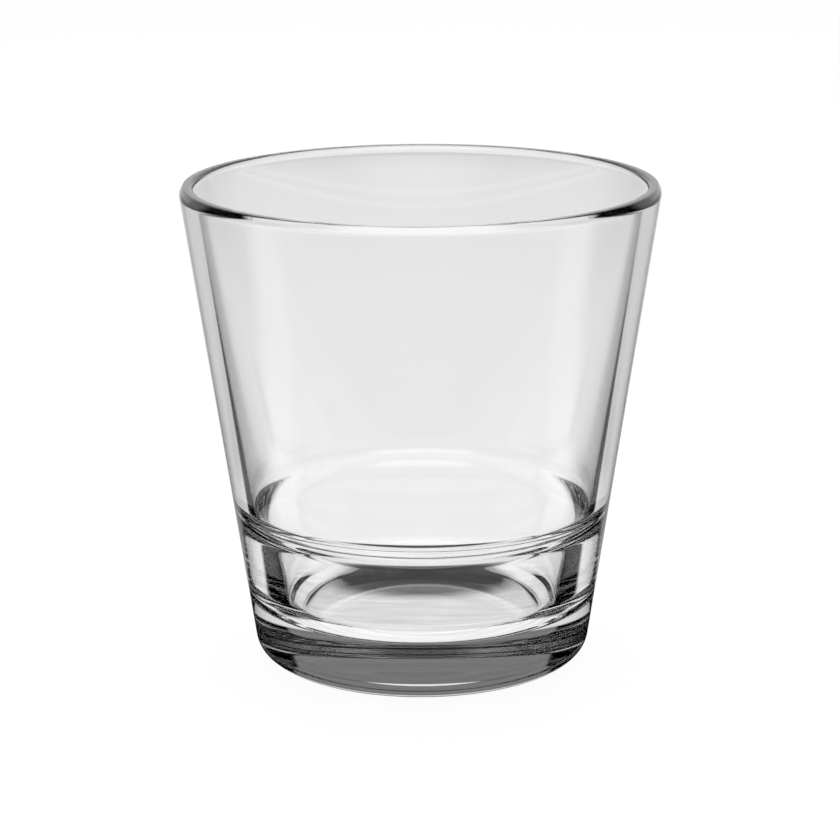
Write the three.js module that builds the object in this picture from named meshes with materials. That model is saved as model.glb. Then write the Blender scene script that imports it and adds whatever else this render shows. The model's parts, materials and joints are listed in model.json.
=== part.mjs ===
// A stacking old-fashioned tumbler, pressed from one gob of clear glass. Millimetres, axis on +Z, foot on z = 0.
import * as THREE from "three";

// Outside of the wall
const HEIGHT = 91; // table to the top of the rim
const RIM_DIAMETER = 90; // where the wall's straight line meets the top of the rim
const BASE_DIAMETER = 63; // where the wall's straight line would meet the table
const HEEL_RADIUS = 4.3; // round between the wall and the foot

// Rim
const RIM_WIDTH = 2.75; // thickness of the wall at the rim
const RIM_OUTER_RADIUS = 1.6;
const RIM_INNER_RADIUS = 0.9;

// Stacking ledge, a sloping step inside the wall that carries the heel of the next tumbler
const LEDGE_HEIGHT = 30.2; // top of the slope above the table
const LEDGE_WALL = 3.5; // thickness of the wall just above the slope
const LEDGE_WIDTH = 2.9; // of the slope, seen from above
const LEDGE_DROP = 2.3; // from the top of the slope to its foot
const LEDGE_FILLET = 3.4; // hollow round between the inner wall and the slope
const LEDGE_EDGE_RADIUS = 6.2; // full round between the slope and the well

// Well
const FLOOR_THICKNESS = 10; // inner floor above the table
const WELL_DRAFT = 10.7; // degrees that the well's side leans out
const FLOOR_FILLET = 6.5; // round between the well's side and its floor

// Underside, a shallow hollow inside the ring that touches the table
const FOOT_INNER_DIAMETER = 53; // inside of the ring
const PUNT_DEPTH = 0.8; // flat middle of the underside above the table
const PUNT_SLOPE = 12; // width of the slope from the ring up to the flat middle
const PUNT_FILLET = 60; // round between the slope and the flat middle
const FOOT_EDGE_RADIUS = 0.3; // round at the ring's inner edge

// Facets
const TURN_SEGMENTS = 64; // round the axis, a multiple of 4 so that corners lie on X and on Y
const ARC_STEP = THREE.MathUtils.degToRad(15); // most that one facet of a round turns
const LEAST_STRAIGHT = 0.05; // what two rounds leave of the edge between them

const rimRadius = RIM_DIAMETER / 2;
const baseRadius = BASE_DIAMETER / 2;
const footInnerRadius = FOOT_INNER_DIAMETER / 2;

// Radius of the wall's outside at a height.
function wallRadius(z) {
  return THREE.MathUtils.mapLinear(z, 0, HEIGHT, baseRadius, rimRadius);
}

// Corners of the half section as [radius, height, round], from the underside's middle round to the floor's middle.
function sectionCorners() {
  const ledgeOuter = wallRadius(LEDGE_HEIGHT) - LEDGE_WALL;
  const ledgeInner = ledgeOuter - LEDGE_WIDTH;
  const ledgeFoot = LEDGE_HEIGHT - LEDGE_DROP;
  const wellDepth = ledgeFoot - FLOOR_THICKNESS;
  const floorRadius = ledgeInner - wellDepth * Math.tan(THREE.MathUtils.degToRad(WELL_DRAFT));
  return [
    [0, PUNT_DEPTH, 0],
    [footInnerRadius - PUNT_SLOPE, PUNT_DEPTH, PUNT_FILLET],
    [footInnerRadius, 0, FOOT_EDGE_RADIUS],
    [baseRadius, 0, HEEL_RADIUS],
    [rimRadius, HEIGHT, RIM_OUTER_RADIUS],
    [rimRadius - RIM_WIDTH, HEIGHT, RIM_INNER_RADIUS],
    [ledgeOuter, LEDGE_HEIGHT, LEDGE_FILLET],
    [ledgeInner, ledgeFoot, LEDGE_EDGE_RADIUS],
    [floorRadius, FLOOR_THICKNESS, FLOOR_FILLET],
    [0, FLOOR_THICKNESS, 0],
  ];
}

// Half of the angle between the two edges that meet at a corner.
function halfAngle(before, corner, after) {
  return before.clone().sub(corner).angleTo(after.clone().sub(corner)) / 2;
}

// Points of the arc that rounds a corner and touches its edges at a given reach from it.
function roundCorner(before, corner, after, reach) {
  const back = before.clone().sub(corner).normalize();
  const on = after.clone().sub(corner).normalize();
  const half = halfAngle(before, corner, after);
  const start = corner.clone().addScaledVector(back, reach);
  const toCentre = back.clone().add(on).normalize();
  const centre = corner.clone().addScaledVector(toCentre, reach / Math.cos(half));
  const sweep = (Math.PI - 2 * half) * Math.sign(on.cross(back));
  const steps = Math.ceil(Math.abs(sweep) / ARC_STEP);
  return Array.from({ length: steps + 1 }, (_, i) => start.clone().rotateAround(centre, (sweep * i) / steps));
}

// Half section of the glass as points to turn about the axis. Two rounds too large for the edge between them
// shrink alike until they fit it.
function sectionPoints() {
  const corners = sectionCorners();
  const points = corners.map(([radius, z]) => new THREE.Vector2(radius, z));
  const reaches = corners.map(([, , round], i) => {
    return round > 0 ? round / Math.tan(halfAngle(points[i - 1], points[i], points[i + 1])) : 0;
  });
  const shares = points.slice(1).map((point, i) => {
    const room = point.distanceTo(points[i]) - LEAST_STRAIGHT;
    return Math.min(1, room / (reaches[i] + reaches[i + 1]));
  });
  return points.flatMap((point, i) => {
    if (reaches[i] === 0) return [point];
    const reach = reaches[i] * Math.min(shares[i - 1], shares[i]);
    return roundCorner(points[i - 1], point, points[i + 1], reach);
  });
}

const glass = new THREE.MeshStandardMaterial({ color: 0xf4f6f6, roughness: 0.02, metalness: 0 });
glass.transparent = true;
glass.opacity = 0.35;

const tumbler = new THREE.Mesh(new THREE.LatheGeometry(sectionPoints(), TURN_SEGMENTS), glass);
tumbler.name = "tumbler_glass";
tumbler.rotation.x = Math.PI / 2;

const part = new THREE.Group();
part.add(tumbler);

export default part;
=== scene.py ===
"""A clear pressed-glass tumbler on a white table, in metres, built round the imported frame."""
import json
import math

import bpy
from mathutils import Euler, Matrix, Vector, noise


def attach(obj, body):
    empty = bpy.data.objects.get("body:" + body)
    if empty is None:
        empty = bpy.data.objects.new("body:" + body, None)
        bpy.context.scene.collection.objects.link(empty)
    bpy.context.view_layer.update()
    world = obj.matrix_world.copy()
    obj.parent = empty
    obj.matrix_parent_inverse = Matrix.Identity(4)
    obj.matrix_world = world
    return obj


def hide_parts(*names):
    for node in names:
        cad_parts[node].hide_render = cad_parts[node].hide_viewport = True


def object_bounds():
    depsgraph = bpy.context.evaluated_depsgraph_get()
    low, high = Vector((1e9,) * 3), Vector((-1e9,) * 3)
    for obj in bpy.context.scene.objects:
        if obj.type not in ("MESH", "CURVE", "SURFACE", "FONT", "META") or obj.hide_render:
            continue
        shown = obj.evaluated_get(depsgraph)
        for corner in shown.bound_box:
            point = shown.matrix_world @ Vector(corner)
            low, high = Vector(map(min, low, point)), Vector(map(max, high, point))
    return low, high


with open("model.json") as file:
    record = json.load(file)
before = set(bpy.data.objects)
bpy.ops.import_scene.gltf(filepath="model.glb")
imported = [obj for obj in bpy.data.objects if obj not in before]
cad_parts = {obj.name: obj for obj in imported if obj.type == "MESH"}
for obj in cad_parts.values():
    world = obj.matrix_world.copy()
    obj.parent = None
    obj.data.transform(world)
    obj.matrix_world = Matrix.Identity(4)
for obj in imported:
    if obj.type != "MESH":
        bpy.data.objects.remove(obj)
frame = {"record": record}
cad_low, cad_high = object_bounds()

# Outside of the wall
HEIGHT = cad_high[2]
RIM_RADIUS = 0.045  # where the wall's straight line meets the top of the rim
BASE_RADIUS = 0.0315  # where the wall's straight line would meet the table
HEEL_ROUND = 0.0043  # between the wall and the foot

# Rim
RIM_WIDTH = 0.00275
RIM_OUTER_ROUND = 0.0005
RIM_INNER_ROUND = 0.0009
LIP_HEIGHT = 0.0013  # lip below the rim that fire polishing draws inwards
LIP_WIDTH = 0.0009
LIP_ROUND = 0.0019
NECK_DROP = 0.0018  # from the rim down to the thinnest part of the wall
NECK_DEPTH = 0.00005  # glass that is missing there
NECK_ROUND = 0.03

# Ledge and well
LEDGE_HEIGHT = 0.0302  # top of the sloping ledge
LEDGE_WALL = 0.0035  # thickness of the wall just above the ledge
LEDGE_WIDTH = 0.0029
LEDGE_DROP = 0.0023  # from the top of the slope to its foot
LEDGE_FILLET = 0.0034
LEDGE_EDGE_ROUND = 0.0062
FLOOR_HEIGHT = 0.010
WELL_DRAFT = math.radians(10.7)  # lean of the well's side
FLOOR_FILLET = 0.0065

# Underside
FOOT_INNER_RADIUS = 0.0265  # inside of the ring that touches the table
PUNT_DEPTH = 0.0008  # flat middle of the underside above the table
PUNT_SLOPE = 0.012  # width of the slope from the ring up to the flat middle
PUNT_FILLET = 0.060
FOOT_EDGE_ROUND = 0.0003

# Fineness of the mesh
TURN_SEGMENTS = 240
ARC_STEP = math.radians(2.5)  # most that one edge of a round turns
LEAST_ARC_STEPS = 6
LONGEST_EDGE = 0.001  # along the section

# Waves that pressing leaves on the floor and the underside, mostly in rings about the axis
WAVE_HEIGHT = 0.00003
WAVE_LENGTH = 0.0045  # across the rings
WAVE_ALONG = 0.02  # length along them
WAVE_APART = 0.003  # height in which they change, so that the floor's differ from the underside's
WAVE_REACH = 0.0205  # radius at which they end
WAVE_FADE = 0.003  # width over which they die out before it

# Glass
GLASS_CLEARNESS = 0.99  # grey level of its colour
GLASS_IOR = 1.52
GLASS_DENSITY = 3.0  # absorption per metre
SKIN_SCALE = 70  # patches of the mould's skin to a metre
SKIN_ROUGHNESS = (0.0, 0.05)  # least and most
SKIN_HEIGHT = 0.000004
BOUNCES = 24  # enough for light that the wall pipes from the foot up to the rim

# Camera
TARGET = Vector((0, 0, HEIGHT / 2))
CAMERA_DISTANCE = 0.514
CAMERA_ELEVATION = math.radians(15.0)
CAMERA_ROLL = -0.004  # radians
FOCAL_LENGTH = 115.9  # millimetres, on a sensor 36 mm wide
SHIFT = (-0.0016, -0.0019)

# Studio. A pair of limits below runs from full to none. Angles round the axis are degrees from straight
# behind the glass, the same on both sides. A brightness of 1 is white.
HALF_TURN = 180

# Table
TABLE_DROP = 0.0003  # below the foot, so that the two faces don't coincide
TABLE_SIZE = 8.0
TABLE_GLOW = 0.96  # as the camera sees it, besides the lamp's light
TABLE_ALBEDO = 0.1

# Table through the glass, as metres out and brightness
TABLE_BEHIND = (
    (0.05, 1.1), (0.06, 1.02), (0.08, 0.97), (0.11, 0.93),
    (0.3, 0.91), (0.52, 0.83), (0.75, 0.3), (1.0, 0.0),
)
TABLE_IN_FRONT = (
    (0.034, 1.05), (0.036, 0.1), (0.05, 0.5), (0.1, 0.8), (0.35, 0.85), (0.75, 0.7), (1.0, 0.6),
)
TABLE_BLEND = (60, 110)  # angles between which the one passes into the other
DIM = 0.25  # share by which the table behind is darker to the sides
DIM_SIDES = (35, 20)
DIM_FROM = (0.12, 0.09)  # metres out

# Table in reflections, as angle and brightness
TABLE_REFLECTED = (
    (0, 0.95), (20, 0.95), (30, 0.45), (50, 0.45), (58, 0.0),
    (92, 0.0), (101, 1.5), (111, 1.5), (119, 0.7), (180, 0.7),
)
REFLECTED_FROM = (0.095, 0.08)  # metres out
REFLECTED_BEHIND = (50, 60)  # angles within which the nearer table is reflected too

# Oval shade on the table
SHADE = 0.93  # share of the light that it takes
SHADE_PLACE = 0.020  # its middle, behind the axis
SHADE_SIZE = (0.022, 0.0115)  # half of its width and half of its depth
SHADE_EDGE = (0.55, 1.1)  # shares of that size

# Streaks of light that the base throws on the table
STREAKS = 0.7  # strength
STREAK_MEAN = 0.5  # of the noise that they follow
STREAK_REACH = (0.036, 0.044)  # metres out
STREAK_WIDTH = 0.0022
STREAK_LENGTH = 0.02

# Painted black flags: dark patches in the table's glow on both sides, seen only through the glass, which
# run back and outwards
FLAG_SLANT = 0.95  # metres outwards to a metre back
FLAG_INNER = (0.034, 0.028)
FLAG_OUTER = (0.075, 0.105)
FLAG_ASIDE = (0.030, 0.026)  # nearest that they come to the middle
FLAG_FRONT = (-0.020, -0.024)
FLAG_BACK = (0.25, 0.33)

# Sky, as degrees up and brightness
SKY = (
    (0, 0.26), (5, 0.22), (9, 0.29), (13, 0.22), (17, 0.28),
    (21, 0.22), (26, 0.25), (33, 0.06), (50, 0.03), (75, 0.0),
)
OPEN_SKY = (37.5, 40.5)  # angles at which the open sky ends
DARK_TOP = (45, 60)  # degrees up at which the dark sky at the sides and in front ends

# Pale backdrop behind, which shows only in reflections
BACKDROP_LIGHT = 0.7  # besides the sky's
BACKDROP_SIDES = (50, 60)
BACKDROP_TO = (40, 60)  # degrees up

# Softbox in front, which shows only in reflections
FRONT_LIGHT = 2.2
FRONT_FROM = (10, 7)  # degrees up
FRONT_TO = (60, 75)
FRONT_SIDES = (150, 120)

# Lamp
LAMP_SIZE = 0.8
LAMP_POWER = 12  # watts
LAMP_PLACE = (0, 0.1, 1.2)


def wall_radius(z):
    """Radius of the wall's outside at a height."""
    return BASE_RADIUS + (RIM_RADIUS - BASE_RADIUS) * z / HEIGHT


def section_corners():
    """Corners of the half section as (radius, height, round), from the underside to the floor."""
    ledge_outer = wall_radius(LEDGE_HEIGHT) - LEDGE_WALL
    ledge_inner = ledge_outer - LEDGE_WIDTH
    ledge_foot = LEDGE_HEIGHT - LEDGE_DROP
    floor_radius = ledge_inner - (ledge_foot - FLOOR_HEIGHT) * math.tan(WELL_DRAFT)
    lip_foot = HEIGHT - LIP_HEIGHT
    rim_inner = RIM_RADIUS - RIM_WIDTH
    neck_share = NECK_DROP / (HEIGHT - LEDGE_HEIGHT)
    neck_radius = rim_inner + (ledge_outer - rim_inner) * neck_share + NECK_DEPTH
    return [
        (0, PUNT_DEPTH, 0),
        (FOOT_INNER_RADIUS - PUNT_SLOPE, PUNT_DEPTH, PUNT_FILLET),
        (FOOT_INNER_RADIUS, 0, FOOT_EDGE_ROUND),
        (BASE_RADIUS, 0, HEEL_ROUND),
        (wall_radius(lip_foot), lip_foot, LIP_ROUND),
        (RIM_RADIUS - LIP_WIDTH, HEIGHT, RIM_OUTER_ROUND),
        (rim_inner, HEIGHT, RIM_INNER_ROUND),
        (neck_radius, HEIGHT - NECK_DROP, NECK_ROUND),
        (ledge_outer, LEDGE_HEIGHT, LEDGE_FILLET),
        (ledge_inner, ledge_foot, LEDGE_EDGE_ROUND),
        (floor_radius, FLOOR_HEIGHT, FLOOR_FILLET),
        (0, FLOOR_HEIGHT, 0),
    ]


def round_corner(before, corner, after, radius):
    """Points of the arc that rounds a corner and touches both of its edges."""
    back = (before - corner).normalized()
    on = (after - corner).normalized()
    half = back.angle(on) / 2
    reach = radius / math.tan(half)
    start = corner + back * reach
    centre = corner + (back + on).normalized() * (reach / math.cos(half))
    sweep = math.copysign(math.pi - 2 * half, on.cross(back))
    steps = max(LEAST_ARC_STEPS, math.ceil(abs(sweep) / ARC_STEP))
    return [centre + Matrix.Rotation(sweep * i / steps, 2) @ (start - centre) for i in range(steps + 1)]


def section_points():
    """Points along the half section, with its corners rounded and its long edges divided."""
    corners = section_corners()
    places = [Vector(corner[:2]) for corner in corners]
    turned = [places[0]]
    for i in range(1, len(places) - 1):
        turned += round_corner(places[i - 1], places[i], places[i + 1], corners[i][2])
    turned.append(places[-1])
    points = [turned[0]]
    for a, b in zip(turned, turned[1:]):
        parts = math.ceil((b - a).length / LONGEST_EDGE)
        points += [a.lerp(b, k / parts) for k in range(1, parts + 1)]
    return points


def wave(x, y, z):
    """Height of the pressing waves at a point of the floor or the underside, and nothing elsewhere."""
    radius = math.hypot(x, y)
    if z > FLOOR_HEIGHT or radius > WAVE_REACH:
        return 0.0
    fade = min(1.0, (WAVE_REACH - radius) / WAVE_FADE)
    place = Vector((radius / WAVE_LENGTH, x / WAVE_ALONG, y / WAVE_ALONG + z / WAVE_APART))
    return WAVE_HEIGHT * fade * noise.noise(place)


def turn(points):
    """Closed mesh of the section turned about the axis. Its first and last points lie on the axis."""
    vertices = [(0, 0, points[0].y), (0, 0, points[-1].y)]
    first = len(vertices)
    for point in points[1:-1]:
        for k in range(TURN_SEGMENTS):
            angle = 2 * math.pi * k / TURN_SEGMENTS
            x, y = point.x * math.cos(angle), point.x * math.sin(angle)
            vertices.append((x, y, point.y + wave(x, y, point.y)))
    last = len(vertices) - TURN_SEGMENTS
    faces = []
    for k in range(TURN_SEGMENTS):
        after = (k + 1) % TURN_SEGMENTS
        faces.append((0, first + after, first + k))
        for ring in range(first, last, TURN_SEGMENTS):
            following = ring + TURN_SEGMENTS
            faces.append((ring + k, ring + after, following + after, following + k))
        faces.append((1, last + k, last + after))
    mesh = bpy.data.meshes.new("tumbler")
    mesh.from_pydata(vertices, [], faces)
    mesh.shade_smooth()
    return mesh


def new_material(name):
    """An empty node material with its output node."""
    material = bpy.data.materials.new(name)
    material.use_nodes = True
    material.node_tree.nodes.clear()
    output = material.node_tree.nodes.new("ShaderNodeOutputMaterial")
    return material, material.node_tree, output


def glass_material():
    """Clear fire-polished glass, with the faint skin of a pressing mould."""
    material, tree, output = new_material("clear_glass")
    place = tree.nodes.new("ShaderNodeTexCoord")
    skin = tree.nodes.new("ShaderNodeTexNoise")
    skin.inputs["Scale"].default_value = SKIN_SCALE
    tree.links.new(place.outputs["Object"], skin.inputs["Vector"])
    polish = tree.nodes.new("ShaderNodeMapRange")
    polish.inputs["To Min"].default_value, polish.inputs["To Max"].default_value = SKIN_ROUGHNESS
    tree.links.new(skin.outputs["Fac"], polish.inputs["Value"])
    bump = tree.nodes.new("ShaderNodeBump")
    bump.inputs["Distance"].default_value = SKIN_HEIGHT
    tree.links.new(skin.outputs["Fac"], bump.inputs["Height"])
    shader = tree.nodes.new("ShaderNodeBsdfPrincipled")
    shader.inputs["Base Color"].default_value = (GLASS_CLEARNESS, GLASS_CLEARNESS, GLASS_CLEARNESS, 1)
    shader.inputs["Transmission Weight"].default_value = 1
    shader.inputs["IOR"].default_value = GLASS_IOR
    tree.links.new(polish.outputs["Result"], shader.inputs["Roughness"])
    tree.links.new(bump.outputs["Normal"], shader.inputs["Normal"])
    body = tree.nodes.new("ShaderNodeVolumeAbsorption")
    body.inputs["Color"].default_value = (0, 0, 0, 1)
    body.inputs["Density"].default_value = GLASS_DENSITY
    tree.links.new(body.outputs["Volume"], output.inputs["Volume"])
    tree.links.new(shader.outputs["BSDF"], output.inputs["Surface"])
    return material


def add_ramp(tree, value, stops):
    """A colour ramp of grey levels over a value, as (position, level) pairs."""
    ramp = tree.nodes.new("ShaderNodeValToRGB")
    elements = ramp.color_ramp.elements
    elements[0].position, elements[1].position = stops[0][0], stops[-1][0]
    for position, _ in stops[1:-1]:
        elements.new(position)
    for element, (_, level) in zip(elements, stops):
        element.color = (level, level, level, 1)
    tree.links.new(value, ramp.inputs[0])
    return ramp.outputs["Color"]


def add_math(tree, operation, first, second=0):
    """A math node on two sockets or numbers."""
    node = tree.nodes.new("ShaderNodeMath")
    node.operation = operation
    for socket, value in zip(node.inputs, (first, second)):
        if isinstance(value, (int, float)):
            socket.default_value = value
        else:
            tree.links.new(value, socket)
    return node.outputs[0]


def add_product(tree, values):
    """The product of sockets or numbers."""
    product = values[0]
    for value in values[1:]:
        product = add_math(tree, "MULTIPLY", product, value)
    return product


def add_rest(tree, share):
    """What a share leaves of 1."""
    return add_math(tree, "SUBTRACT", 1, share)


def add_step(tree, value, full, none):
    """A smooth step over a value, from 1 where it is full to 0 where it is none."""
    step = tree.nodes.new("ShaderNodeMapRange")
    step.interpolation_type = "SMOOTHSTEP"
    for name, number in (("From Min", full), ("From Max", none), ("To Min", 1), ("To Max", 0)):
        step.inputs[name].default_value = number
    tree.links.new(value, step.inputs["Value"])
    return step.outputs["Result"]


def add_mix(tree, factor, first, second):
    """A mix of two shaders."""
    mix = tree.nodes.new("ShaderNodeMixShader")
    for socket, value in zip(mix.inputs, (factor, first, second)):
        tree.links.new(value, socket)
    return mix.outputs[0]


def add_mirror(tree, path):
    """1 for rays that the glass has thrown back, and 0 for those that have passed through it."""
    return add_math(tree, "SUBTRACT", path.outputs["Is Glossy Ray"], path.outputs["Is Transmission Ray"])


def add_parts(tree, vector):
    """The X, Y and Z of a vector."""
    parts = tree.nodes.new("ShaderNodeSeparateXYZ")
    tree.links.new(vector, parts.inputs[0])
    return parts.outputs


def add_length(tree, vector):
    """The length of a vector."""
    length = tree.nodes.new("ShaderNodeVectorMath")
    length.operation = "LENGTH"
    tree.links.new(vector, length.inputs[0])
    return length.outputs["Value"]


def add_scaled(tree, across, along, sizes):
    """A flat vector of two distances, each measured in a size of its own."""
    place = tree.nodes.new("ShaderNodeCombineXYZ")
    for axis, distance, size in zip("XY", (across, along), sizes):
        tree.links.new(add_math(tree, "DIVIDE", distance, size), place.inputs[axis])
    return place.outputs[0]


def add_azimuth(tree, parts):
    """Angle from straight behind the glass in half turns, the same on both sides."""
    aside = add_math(tree, "ABSOLUTE", parts["X"])
    return add_math(tree, "DIVIDE", add_math(tree, "ARCTAN2", aside, parts["Y"]), math.pi)


def half_turns(degrees):
    """Angles in half turns."""
    return [angle / HALF_TURN for angle in degrees]


def sines(degrees):
    """Sines of angles."""
    return [math.sin(math.radians(angle)) for angle in degrees]


def add_shade(tree, parts):
    """Strength of the oval shade on the table."""
    behind = add_math(tree, "SUBTRACT", parts["Y"], SHADE_PLACE)
    spread = add_length(tree, add_scaled(tree, parts["X"], behind, SHADE_SIZE))
    return add_math(tree, "MULTIPLY", add_step(tree, spread, *SHADE_EDGE), SHADE)


def add_streaks(tree, parts, distance):
    """Brightness of the streaks of light under the glass, about 1."""
    streaks = tree.nodes.new("ShaderNodeTexNoise")
    streaks.inputs["Scale"].default_value = 1
    place = add_scaled(tree, parts["X"], parts["Y"], (STREAK_LENGTH, STREAK_WIDTH))
    tree.links.new(place, streaks.inputs["Vector"])
    swing = add_math(tree, "SUBTRACT", streaks.outputs["Fac"], STREAK_MEAN)
    reach = add_step(tree, distance, *STREAK_REACH)
    return add_math(tree, "ADD", add_product(tree, [swing, STREAKS, reach]), 1)


def add_painted_flags(tree, parts):
    """Strength of the painted black flags, dark patches in the table's glow."""
    aside, along = add_math(tree, "ABSOLUTE", parts["X"]), parts["Y"]
    slant = add_math(tree, "SUBTRACT", aside, add_math(tree, "MULTIPLY", along, FLAG_SLANT))
    edges = (
        (slant, FLAG_INNER),
        (slant, FLAG_OUTER),
        (aside, FLAG_ASIDE),
        (along, FLAG_FRONT),
        (along, FLAG_BACK),
    )
    return add_product(tree, [add_step(tree, value, *limits) for value, limits in edges])


def table_through(tree, parts, distance, azimuth):
    """Brightness of the table through the glass."""
    sides = add_step(tree, azimuth, *half_turns(DIM_SIDES))
    dim = add_product(tree, [sides, add_step(tree, distance, *DIM_FROM), DIM])
    behind = add_math(tree, "MULTIPLY", add_ramp(tree, distance, TABLE_BEHIND), add_rest(tree, dim))
    front = add_ramp(tree, distance, TABLE_IN_FRONT)
    blend = add_step(tree, azimuth, *half_turns(TABLE_BLEND))
    across = add_math(tree, "MULTIPLY", add_math(tree, "SUBTRACT", behind, front), blend)
    light = add_math(tree, "ADD", front, across)
    unshaded = add_rest(tree, add_shade(tree, parts))
    # the painted black flags are dark patches in the table's glow through the glass
    unflagged = add_rest(tree, add_painted_flags(tree, parts))
    return add_product(tree, [light, unshaded, add_streaks(tree, parts, distance), unflagged])


def table_reflected(tree, distance, azimuth):
    """Brightness of the table in reflections."""
    light = add_ramp(tree, azimuth, [(angle / HALF_TURN, level) for angle, level in TABLE_REFLECTED])
    far = add_step(tree, distance, *REFLECTED_FROM)
    behind = add_step(tree, azimuth, *half_turns(REFLECTED_BEHIND))
    return add_math(tree, "MULTIPLY", light, add_math(tree, "MAXIMUM", far, behind))


def table_material():
    """White table that glows for the camera and the glass, and takes the tumbler's shadow."""
    material, tree, output = new_material("table")
    position = tree.nodes.new("ShaderNodeNewGeometry").outputs["Position"]
    parts = add_parts(tree, position)
    distance = add_length(tree, position)
    azimuth = add_azimuth(tree, parts)
    path = tree.nodes.new("ShaderNodeLightPath")
    level = 0
    for rays, light in (
        (path.outputs["Is Camera Ray"], TABLE_GLOW),
        (path.outputs["Is Transmission Ray"], table_through(tree, parts, distance, azimuth)),
        (add_mirror(tree, path), table_reflected(tree, distance, azimuth)),
    ):
        level = add_math(tree, "ADD", level, add_math(tree, "MULTIPLY", rays, light))
    glow = tree.nodes.new("ShaderNodeEmission")
    tree.links.new(level, glow.inputs["Strength"])
    matt = tree.nodes.new("ShaderNodeBsdfDiffuse")
    matt.inputs["Color"].default_value = (TABLE_ALBEDO, TABLE_ALBEDO, TABLE_ALBEDO, 1)
    both = tree.nodes.new("ShaderNodeAddShader")
    tree.links.new(glow.outputs[0], both.inputs[0])
    tree.links.new(matt.outputs[0], both.inputs[1])
    seen = add_mix(tree, path.outputs["Is Camera Ray"], glow.outputs[0], both.outputs[0])
    tree.links.new(seen, output.inputs["Surface"])
    return material


def add_object(name, mesh, material):
    """A mesh object in the scene, with its material."""
    mesh.materials.append(material)
    made = bpy.data.objects.new(name, mesh)
    bpy.context.scene.collection.objects.link(made)
    return made


def add_table():
    """One flat sheet under the tumbler."""
    half = TABLE_SIZE / 2
    corners = [(x * half, y * half, -TABLE_DROP) for x, y in ((-1, -1), (1, -1), (1, 1), (-1, 1))]
    mesh = bpy.data.meshes.new("table")
    mesh.from_pydata(corners, [], [range(len(corners))])
    table = add_object("table", mesh, table_material())


def sky_light(tree, mirror):
    """Brightness above the table for the glass, with the backdrop and the softbox in reflections only."""
    parts = add_parts(tree, tree.nodes.new("ShaderNodeTexCoord").outputs["Generated"])
    up, azimuth = parts["Z"], add_azimuth(tree, parts)
    angles, levels = zip(*SKY)
    closed = add_rest(tree, add_step(tree, azimuth, *half_turns(OPEN_SKY)))
    dark = add_math(tree, "MULTIPLY", add_step(tree, up, *sines(DARK_TOP)), closed)
    light = add_ramp(tree, up, list(zip(sines(angles), levels)))
    sky = add_math(tree, "MULTIPLY", light, add_rest(tree, dark))
    front = add_step(tree, azimuth, *half_turns(FRONT_SIDES))
    heights = [add_step(tree, up, *sines(limits)) for limits in (FRONT_FROM, FRONT_TO)]
    softbox = add_product(tree, [front, FRONT_LIGHT, *heights])
    behind = add_step(tree, azimuth, *half_turns(BACKDROP_SIDES))
    backdrop = add_product(tree, [behind, BACKDROP_LIGHT, add_step(tree, up, *sines(BACKDROP_TO))])
    mirrored = add_math(tree, "MULTIPLY", add_math(tree, "ADD", softbox, backdrop), mirror)
    return add_math(tree, "ADD", sky, mirrored)


def add_world():
    """White for the camera, and for the glass the studio's own sky."""
    world = bpy.data.worlds.new("studio")
    world.use_nodes = True
    tree = world.node_tree
    tree.nodes.clear()
    output = tree.nodes.new("ShaderNodeOutputWorld")
    path = tree.nodes.new("ShaderNodeLightPath")
    studio = tree.nodes.new("ShaderNodeBackground")
    tree.links.new(sky_light(tree, add_mirror(tree, path)), studio.inputs["Strength"])
    white = tree.nodes.new("ShaderNodeBackground")
    for background in (studio, white):
        background.inputs["Color"].default_value = (1, 1, 1, 1)
    seen = add_mix(tree, path.outputs["Is Camera Ray"], studio.outputs[0], white.outputs[0])
    tree.links.new(seen, output.inputs["Surface"])
    bpy.context.scene.world = world


def add_lamp():
    """One large soft lamp overhead, for the table's shadow."""
    lamp = bpy.data.lights.new("overhead", "AREA")
    lamp.shape = "SQUARE"
    lamp.size = LAMP_SIZE
    lamp.energy = LAMP_POWER
    made = bpy.data.objects.new("overhead", lamp)
    made.location = LAMP_PLACE
    made.visible_glossy = False
    made.visible_transmission = False
    bpy.context.scene.collection.objects.link(made)


def add_camera():
    """The camera in front of the tumbler, a little above it."""
    camera = bpy.data.cameras.new("camera")
    camera.lens = FOCAL_LENGTH
    camera.shift_x, camera.shift_y = SHIFT
    made = bpy.data.objects.new("camera", camera)
    ahead = Vector((0, math.cos(CAMERA_ELEVATION), -math.sin(CAMERA_ELEVATION)))
    made.location = TARGET - ahead * CAMERA_DISTANCE
    level = Euler((math.pi / 2 - CAMERA_ELEVATION, 0, 0)).to_matrix()
    made.rotation_euler = (level @ Matrix.Rotation(CAMERA_ROLL, 3, "Z")).to_euler()
    bpy.context.scene.collection.objects.link(made)
    bpy.context.scene.camera = made


def add_tumbler():
    """The tumbler, which stands for the frame's one node."""
    subpart = frame["record"]["subparts"][0]
    tumbler = add_object("tumbler", turn(section_points()), glass_material())
    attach(tumbler, "root")
    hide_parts(subpart["node"])


add_camera()
add_tumbler()
add_table()
add_world()
add_lamp()

scene = bpy.context.scene
scene.view_settings.view_transform = "Standard"
scene.cycles.max_bounces = BOUNCES
scene.cycles.transmission_bounces = BOUNCES
scene.cycles.glossy_bounces = BOUNCES
